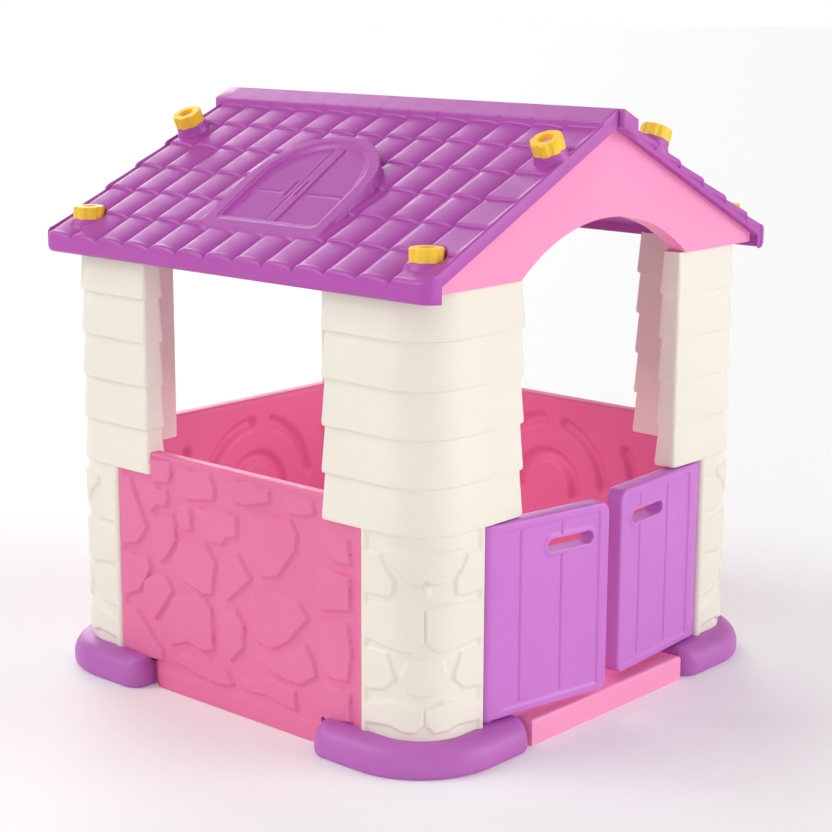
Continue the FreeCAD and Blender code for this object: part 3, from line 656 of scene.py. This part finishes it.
def leaf_loops(grooves):
    """Level sections of a leaf, from the hinge barrel along the front to the free edge and back."""
    rounded = np.array([0, 0.4, 1.5, 3, 5])
    heights = stations(LEAF_BOTTOM + rounded, LEAF_TOP - rounded,
                       spread(LEAF_BOTTOM, LEAF_BOTTOM + LEAF_CORNER, 2.4),
                       spread(LEAF_TOP - LEAF_CORNER, LEAF_TOP, 2.4),
                       spread(LEAF_BOTTOM + LEAF_CORNER, LEAF_TOP - LEAF_CORNER, 3.0))
    lines = [groove + shift for groove in grooves for shift in (-4, -2, -0.6, 0.6, 2, 4)]
    front_at = stations(spread(6, PANEL_START - 2, 4), spread(PANEL_START - 2, PANEL_START + 5, 1.5),
                        spread(PANEL_START + 5, PANEL_END - 5, 3.4),
                        spread(PANEL_END - 5, PANEL_END + 2, 1.5),
                        spread(PANEL_END + 2, LEAF_LENGTH - LEAF_ROUND, 3), lines)
    turn = spread(0, math.pi / 2, 0.3)
    barrel = spread(math.pi / 2, 3 * math.pi / 2, 0.22)[1:-1]
    fixed = 200                                       # past this the stations close up at the corners
    loops = []
    for height in heights:
        edge = min(height - LEAF_BOTTOM, LEAF_TOP - height)
        inset = corner_drop(LEAF_ROUND, LEAF_ROUND - edge)
        length = LEAF_LENGTH - corner_drop(LEAF_CORNER, LEAF_CORNER - edge)
        squeeze = (length - LEAF_ROUND - fixed) / (LEAF_LENGTH - LEAF_ROUND - fixed)
        along = np.where(front_at > fixed, fixed + (front_at - fixed) * squeeze, front_at)
        level = np.full(len(along), float(height))
        depth = leaf_face(along, level, grooves)
        front = np.column_stack([along, -LEAF_HALF + inset + depth])
        back = np.column_stack([along, LEAF_HALF - inset - depth])[::-1]
        end_low = np.column_stack([length - LEAF_ROUND + (LEAF_ROUND - inset * 0.3) * np.sin(turn),
                                   -LEAF_HALF + inset + LEAF_ROUND * (1 - np.cos(turn))])[1:]
        end_high = np.column_stack([end_low[:, 0], -end_low[:, 1]])[::-1]
        radius = LEAF_HALF - inset
        hinge = np.column_stack([radius * np.cos(barrel), radius * np.sin(barrel)])
        section = np.vstack([front, end_low, end_high, back, hinge])
        loops.append(np.column_stack([section, np.full(len(section), height)]))
    return loops


def slot_tool():
    """A long prism to cut the hand slot."""
    low, high = SLOT_FROM + SLOT_RADIUS, SLOT_TO - SLOT_RADIUS
    turn = np.linspace(-math.pi / 2, math.pi / 2, 17)
    right = np.column_stack([high + SLOT_RADIUS * np.cos(turn), SLOT_HEIGHT + SLOT_RADIUS * np.sin(turn)])
    left = np.column_stack([low - SLOT_RADIUS * np.cos(turn), SLOT_HEIGHT - SLOT_RADIUS * np.sin(turn)])
    outline = np.vstack([right, left])
    loops = [np.column_stack([outline[:, 0], np.full(len(outline), depth), outline[:, 1]])
             for depth in (-40, 40)]
    return loft("slot_tool", loops)


def add_leaf(label, hinge, flip, ajar, grooves, material):
    """A leaf on its hinge, ajar by some degrees. flip is -1 for the mirrored leaf on the right."""
    piece = loft(f"moulded_door_{label}", leaf_loops(grooves), 45)
    cut(piece, slot_tool())
    tidy_mesh(piece, 45)
    mirror = Matrix.Diagonal((flip, 1, 1, 1))
    turn = Matrix.Rotation(math.radians(ajar), 4, "Z")
    place(piece, Matrix.Translation((hinge[0] * MM, hinge[1] * MM, 0)) @ turn @ mirror)
    return finish_piece(piece, f"{label}_door", "door_purple", material, f"door_{label}")


def add_doors(material):
    add_leaf("left", (-319, -471), 1, -9.5, (68, 168.5), material)
    add_leaf("right", (319, -471), -1, 4.5, (111, 214), material)


# ---------------------------------------------------------------- roof

def crest(run):
    """Height of the tiles' crests, in a straight line down the slope."""
    return RIDGE - BAND_STEP - run * SLOPE


def tiles(run, along):
    """Height of the tiled surface. Each column swells quickly from its valley to a crest near one side,
    then rounds over to the next valley; each course rises to its lip. One column at the end is flat."""
    lip_step, lip_round, swell_low, swell_high, crest_at = 5.0, 2.0, 7.5, 12.0, 0.26
    lips = FIRST_LIP + COURSE_RUN * np.arange(COURSES)
    course = np.searchsorted(lips, run, side="left")
    first_begin = BAND_RUN - 8                        # the first course starts under the ridge band
    length = np.where(course == 0, FIRST_LIP - first_begin, COURSE_RUN)
    begin = np.where(course == 0, first_begin, FIRST_LIP + COURSE_RUN * (course - 1))
    t = np.where(course == COURSES, 0, np.clip((run - begin) / length, 0, 1))
    from_back = (BARREL_START - along) / BARREL_PITCH
    w = from_back - np.floor(from_back)
    rise = np.sqrt(np.maximum(0, 1 - (1 - np.clip(w / crest_at, 0, 1)) ** 2))
    fall = np.sqrt(np.maximum(0, 1 - np.clip((w - crest_at) / (1 - crest_at), 0, 1) ** 2.2))
    swell = np.where(w < crest_at, rise, fall)
    amount = swell_low + (swell_high - swell_low) * t
    drop = amount * (1 - swell)
    drop = np.where(from_back > BARRELS, amount * (1 - smooth(BARRELS, BARRELS + 0.1, from_back)), drop)
    drop = np.where(from_back < 0, amount * smooth(-0.02, 0.0, from_back), drop)
    to_lip = np.where(course == COURSES, 99, length * (1 - t))
    rounded = lip_round * smooth(4.5, 0, to_lip) ** 2
    return crest(run) - lip_step * (1 - t) ** 1.1 - drop - rounded


DORMER_MIDDLE = -10


def dormer_distances(run, along):
    """Distances from the dormer frame's outer and inner outlines, negative inside."""
    slope_run = run / LEVEL
    away = np.abs(along - DORMER_MIDDLE)
    spring = 345                                      # where the arch starts, down the slope
    out = []
    for half, top, bottom, chamfer in ((158, 205, 493, 16), (121, 232, 455, 3)):
        arch = np.hypot(away / half, np.maximum(0, spring - slope_run) / (spring - top)) - 1
        side = np.where(slope_run < spring, arch * (half + spring - top) / 2, away - half)
        low = slope_run - bottom
        corner = (away - half + low + chamfer) / math.sqrt(2)
        out.append(np.maximum(np.maximum(side, low), corner))
    return out


def dormer(run, along, ground):
    """The window moulded on the roof: a proud frame round two shutters that lie on a steeper plane."""
    slope_run = run / LEVEL
    outer, inner = dormer_distances(run, along)
    across = along - DORMER_MIDDLE
    sill, sunk_at_sill, lean = 456, 5, 24 / 226       # the shutters rise out of the slope going up it
    plane = crest(run) + ((sill - slope_run) * lean - sunk_at_sill) / LEVEL
    frame_top = plane + 6.5 - 1.4 * smooth(10, 8, inner)
    inside = smooth(0, -6, inner)

    right_seam, left_seam, groove = 8.5, -19, 2.6
    seam = smooth(groove, 0.6, np.abs(across - right_seam)) + smooth(groove, 0.6, np.abs(across - left_seam))
    meeting = smooth(left_seam - 2, left_seam + 2, across) * smooth(right_seam + 2, right_seam - 1.5, across)
    shade = plane + (2.0 * meeting - groove * seam) * inside
    handle_at, handle_half = 357, 20
    for handle in (22.5, -5.5):
        reach = np.maximum(np.abs(slope_run - handle_at) - handle_half, 0)
        shade = shade - groove * smooth(3.4, 1.6, np.hypot(across - handle, reach))
    rail_at = 368
    rail = smooth(3.5, 1.0, np.abs(slope_run - rail_at)) * smooth(24, 34, np.abs(across - right_seam))
    shade = shade - 1.6 * rail * inside

    inner_mask = smooth(1.4, -2.2, inner)
    surface = frame_top * (1 - inner_mask) + shade * inner_mask
    mask = smooth(2.6, -2.6, outer)
    return ground * (1 - mask) + surface * mask


def ridge_band(run, ground):
    """The plain band along the ridge, a step above the tiles and rounded into the seam."""
    band = RIDGE - run * SLOPE - corner_drop(SEAM_ROUND, SEAM_ROUND + SEAM - run)
    lip = smooth(BAND_RUN + 2.2, BAND_RUN - 1.2, run)
    return ground * (1 - lip) + band * lip


def nut_pockets(run, along, ground):
    """Level seats for the nuts at the eave: a boss that stands out of the slope, and a pocket in it."""
    boss_top, boss_foot, boss_root = 30.5, 44, 56
    height = ground
    for side in (1, -1):
        radius = np.hypot(run - EAVE_NUT[0], along - side * EAVE_NUT[1])
        drop = 22 * smooth(boss_top, boss_foot, radius) + 40 * smooth(boss_foot, boss_root, radius)
        height = np.maximum(height, EAVE_SEAT - drop)
        pocket = smooth(35, 32, radius)
        height = height * (1 - pocket) + np.minimum(height, EAVE_SEAT) * pocket
    return height


def roof_top(run, along):
    """The height of a panel's upper side."""
    height = tiles(run, along)
    border = np.minimum(ROOF_HALF - along, ROOF_HALF + along)
    edge_bead = smooth(11, 8.5, ROOF_HALF + along)
    height = height * (1 - edge_bead) + (crest(run) + 0.5) * edge_bead
    height = dormer(run, along, height)
    height = ridge_band(run, height)
    height = nut_pockets(run, along, height)
    rounding = np.where(along > 0, 7.0, 4.0)
    return height - corner_drop(rounding, rounding - border)


def roof_grid():
    """Stations down the slope and along the ridge, close together where the relief is fine."""
    fine = 2.2
    lips = FIRST_LIP + COURSE_RUN * np.arange(COURSES - 1)
    lip_rows = [lip + shift for lip in lips for shift in (-4.2, -3, -2, -1.1, -0.5, -0.15, 0.15, 1.0)]
    runs = stations(spread(SEAM, SEAM + SEAM_ROUND, 0.6), spread(SEAM + SEAM_ROUND + 1, BAND_RUN - 2, 5),
                    [BAND_RUN - 1.4, BAND_RUN, BAND_RUN + 1.2, BAND_RUN + 2.4],
                    spread(BAND_RUN + 4, 182, 3.0), spread(182, 446, fine), spread(446, EAVE - NOSE, 2.6),
                    lip_rows)
    columns = stations(spread(-ROOF_HALF, -ROOF_HALF + 4, 1), spread(-ROOF_HALF + 4, -170, 3.2),
                       spread(-170, 150, fine), spread(150, ROOF_HALF - 7, 3.2),
                       spread(ROOF_HALF - 7, ROOF_HALF, 1))
    return runs, columns


def ledge_reach(run, column):
    """How far the tiles at the back stand out past the gable edge; each course reaches out at its lip."""
    t = np.where(run < FIRST_LIP, (run - BAND_RUN) / (FIRST_LIP - BAND_RUN),
                 ((run - FIRST_LIP) / COURSE_RUN) % 1)
    t = np.where(run > FIRST_LIP + COURSE_RUN * (COURSES - 1), 1, np.clip(t, 0, 1))
    furthest = 4.5
    return furthest * t ** 2.5 * smooth(BARREL_START - 4, ROOF_HALF, column)


def roof_section(runs, column):
    """One section of a panel, from the ridge down the tiles, round the eave and back underneath."""
    eave = EAVE - 0.995 * corner_drop(ROOF_CORNER, abs(column) - (ROOF_HALF - ROOF_CORNER))
    fixed = 430                                       # past this the stations close up at the corners
    squeeze = (eave - NOSE - fixed) / (EAVE - NOSE - fixed)
    run = np.where(runs > fixed, fixed + (runs - fixed) * squeeze, runs)
    top = roof_top(run, np.full(len(run), float(column)))

    turn = spread(0, math.pi / 2, 0.26)
    nose = np.column_stack([eave - NOSE + NOSE * np.sin(turn[1:]), top[-1] - NOSE * (1 - np.cos(turn[1:]))])
    foot = np.column_stack([eave - NOSE * (1 - np.cos(turn)), EAVE_BOTTOM + NOSE * (1 - np.sin(turn))])
    rim = min(EAVE - EAVE_RIM, eave - NOSE - 1)
    under = np.minimum(spread(EAVE - EAVE_RIM, SEAM, 60), rim)
    below = np.column_stack([under, RIDGE - ROOF_DEPTH - under * SLOPE])
    section = np.vstack([np.column_stack([run, top]), nose, foot, [[rim, EAVE_BOTTOM]], below])

    reach = np.zeros(len(section))
    reach[:len(run)] = ledge_reach(run, column)
    reach[len(run):len(run) + len(nose) + len(foot)] = reach[len(run) - 1]
    return np.column_stack([section[:, 0], column + reach, section[:, 1]])


def roof_loops():
    """All sections of a panel, and two more that close its ledges down to the gable edge."""
    runs, columns = roof_grid()
    loops = [roof_section(runs, column) for column in columns]
    ledge_thick, drawn_in, valley = 6, 0.3, 15
    tiled = slice(0, len(runs))
    skirt = loops[-1].copy()
    skirt[tiled, 2] -= ledge_thick
    skirt[tiled, 1] -= drawn_in * (skirt[tiled, 1] - ROOF_HALF)
    edge = skirt.copy()
    edge[tiled, 2] = np.minimum(edge[tiled, 2], crest(edge[tiled, 0]) - valley)
    edge[:, 1] = ROOF_HALF
    return loops + [skirt, edge]


def band_end():
    """The end of the ridge band, which runs past the gable edge on one side."""
    proud = 0.15                                      # so that it hides the skin it overlaps
    low, high = SEAM + SEAM_ROUND, BAND_RUN + proud
    top = [(SEAM, -SEAM_ROUND), (SEAM + 0.8, -0.7), (low, 0), (high - 2, 0), (high - 0.6, -0.6), (high, -2)]
    section = [(run, RIDGE - run * SLOPE + drop + proud) for run, drop in top]
    section += [(run, RIDGE - ROOF_DEPTH - run * SLOPE - proud) for run in (high, SEAM)]
    section = np.array(section)
    middle = section.mean(axis=0)
    loops = []
    for along, shrink in ((ROOF_HALF - 20, 0), (ROOF_HALF + BAND_REACH - 2.5, 0),
                          (ROOF_HALF + BAND_REACH - 0.8, 0.7), (ROOF_HALF + BAND_REACH, 2.5)):
        inward = middle - section
        moved = section + inward * shrink / np.linalg.norm(inward, axis=1)[:, None]
        loops.append(np.column_stack([moved[:, 0], np.full(len(moved), along), moved[:, 1]]))
    return loft("band_end", loops, 50)


def ridge_boss(side):
    """A round boss square to the slope, under a nut near the ridge."""
    rings = [(35, -14), (35, -2), (32, 3), (30.8, 8), (30.5, 14), (29.6, 15.6), (28, 16)]
    count = 48
    turn = np.linspace(0, 2 * math.pi, count, endpoint=False)
    tilt = math.atan(SLOPE)
    loops = []
    for radius, height in rings:
        across, up = radius * np.cos(turn), np.full(count, float(height))
        x = RIDGE_NUT[0] + across * math.cos(tilt) + up * math.sin(tilt)
        z = crest(RIDGE_NUT[0]) - across * math.sin(tilt) + up * math.cos(tilt)
        y = side * RIDGE_NUT[1] + radius * np.sin(turn)
        loops.append(np.column_stack([x, y, z]))
    return loft("ridge_boss", loops, 40)


def add_roof(material):
    """The right panel is made, and the left one is the same moulding turned half round."""
    shape = join("roof", [loft("roof_skin", roof_loops(), 48), band_end(), ridge_boss(1), ridge_boss(-1)])
    # its flat column of tiles is at the back on the right panel and at the front on the left one
    half_turn = Matrix.Rotation(math.pi, 4, "Z")
    flip = Matrix.Diagonal((1, -1, 1, 1))
    place(shape, flip)
    left = copy_of(shape, "moulded_roof_left", half_turn)
    shape.name = "moulded_roof_right"
    finish_piece(shape, "house", "roof_purple", material, "roof_right")
    finish_piece(left, "house", "roof_purple", material, "roof_left")


# ---------------------------------------------------------------- carried-over CAD nodes

def dress_cad_nodes(materials):
    """CAD nodes whose shape is right keep it, and take the moulded plastic of their slot.
    These are the gables, the sill, the hinge pins and the nuts."""
    slots = {"gable_": "gable_pink", "door_sill": "gable_pink",
             "hinge_pin_": "door_purple", "roof_nut_": "nut_yellow"}
    for name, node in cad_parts.items():
        for start, slot in slots.items():
            if name.startswith(start):
                for material_slot in node.material_slots:
                    material_slot.material = materials[slot]
                for polygon in node.data.polygons:
                    polygon.material_index = 0


# ---------------------------------------------------------------- stage, light and camera

def add_stage():
    """A pale floor, and a white surround that dims upward."""
    size = 60.0
    mesh = bpy.data.meshes.new("floor")
    corners = [(-size, -size, 0), (size, -size, 0), (size, size, 0), (-size, size, 0)]
    mesh.from_pydata(corners, [], [(0, 1, 2, 3)])
    floor = bpy.data.objects.new("floor", mesh)
    bpy.context.scene.collection.objects.link(floor)
    material = bpy.data.materials.new("pale_floor")
    material.use_nodes = True
    shader = material.node_tree.nodes["Principled BSDF"]
    shader.inputs["Base Color"].default_value = (0.93, 0.93, 0.93, 1)
    shader.inputs["Roughness"].default_value = 0.7
    shader.inputs["Emission Color"].default_value = (1, 1, 1, 1)
    shader.inputs["Emission Strength"].default_value = 0.07
    mesh.materials.append(material)

    world = bpy.data.worlds.new("studio")
    world.use_nodes = True
    nodes, links = world.node_tree.nodes, world.node_tree.links
    direction = nodes.new("ShaderNodeTexCoord")
    parts = nodes.new("ShaderNodeSeparateXYZ")
    fade = nodes.new("ShaderNodeMapRange")
    for key, value in (("From Min", 0.02), ("From Max", 0.30), ("To Min", 1.0), ("To Max", 0.42)):
        fade.inputs[key].default_value = value
    links.new(direction.outputs["Generated"], parts.inputs["Vector"])
    links.new(parts.outputs["Z"], fade.inputs["Value"])
    links.new(fade.outputs["Result"], nodes["Background"].inputs["Strength"])
    nodes["Background"].inputs["Color"].default_value = (1, 1, 1, 1)
    bpy.context.scene.world = world


def add_softbox(name, towards, strength, spread_angle):
    """A broad, even light from one direction."""
    light = bpy.data.lights.new(name, "SUN")
    light.energy = strength
    light.angle = math.radians(spread_angle)
    lamp = bpy.data.objects.new(name, light)
    lamp.rotation_euler = Vector(towards).to_track_quat("Z", "Y").to_euler()
    bpy.context.scene.collection.objects.link(lamp)


def add_light(name, place_at, aim, size, power, tint):
    """A round lamp that faces the point aim."""
    light = bpy.data.lights.new(name, "AREA")
    light.shape = "DISK"
    light.size = size
    light.energy = power
    light.color = tint
    lamp = bpy.data.objects.new(name, light)
    lamp.location = place_at
    lamp.rotation_euler = (Vector(aim) - Vector(place_at)).to_track_quat("-Z", "Y").to_euler()
    bpy.context.scene.collection.objects.link(lamp)


def add_lights():
    add_softbox("left_softbox", (-0.50, 0.50, 0.70), 1.0, 34)
    add_softbox("right_softbox", (0.52, -0.80, 0.34), 1.2, 40)
    add_softbox("backdrop", (0.52, 0.80, 0.30), 1.05, 34)
    add_softbox("camera_side", (-0.85, -0.35, 0.40), 0.38, 50)
    add_light("inside", (0, 0, 0.60), (0, 0, 0), 0.5, 1.7, (1.0, 0.75, 0.78))


def add_camera():
    """The camera, as worked out from the photo."""
    heading, pitch, roll = 0.844, -0.2185, 0.0044     # radians
    forward = Vector((math.sin(heading) * math.cos(pitch), math.cos(heading) * math.cos(pitch),
                      math.sin(pitch)))
    camera = bpy.data.cameras.new("camera")
    camera.lens = 85.2
    camera.sensor_width = 36
    camera.clip_end = 60
    holder = bpy.data.objects.new("camera", camera)
    holder.location = (-2.9248, -2.6180, 1.3759)
    turn = forward.to_track_quat("-Z", "Y").to_matrix() @ Matrix.Rotation(roll, 3, "Z")
    holder.rotation_euler = turn.to_euler()
    bpy.context.scene.collection.objects.link(holder)
    bpy.context.scene.camera = holder


def build():
    materials = add_materials()
    add_pillars(materials["pillar_cream"])
    add_feet(materials["foot_purple"])
    add_walls(materials["wall_pink"])
    add_doors(materials["door_purple"])
    add_roof(materials["roof_purple"])
    dress_cad_nodes(materials)
    add_stage()
    add_lights()
    add_camera()
    bpy.context.scene.view_settings.view_transform = "Standard"


build()
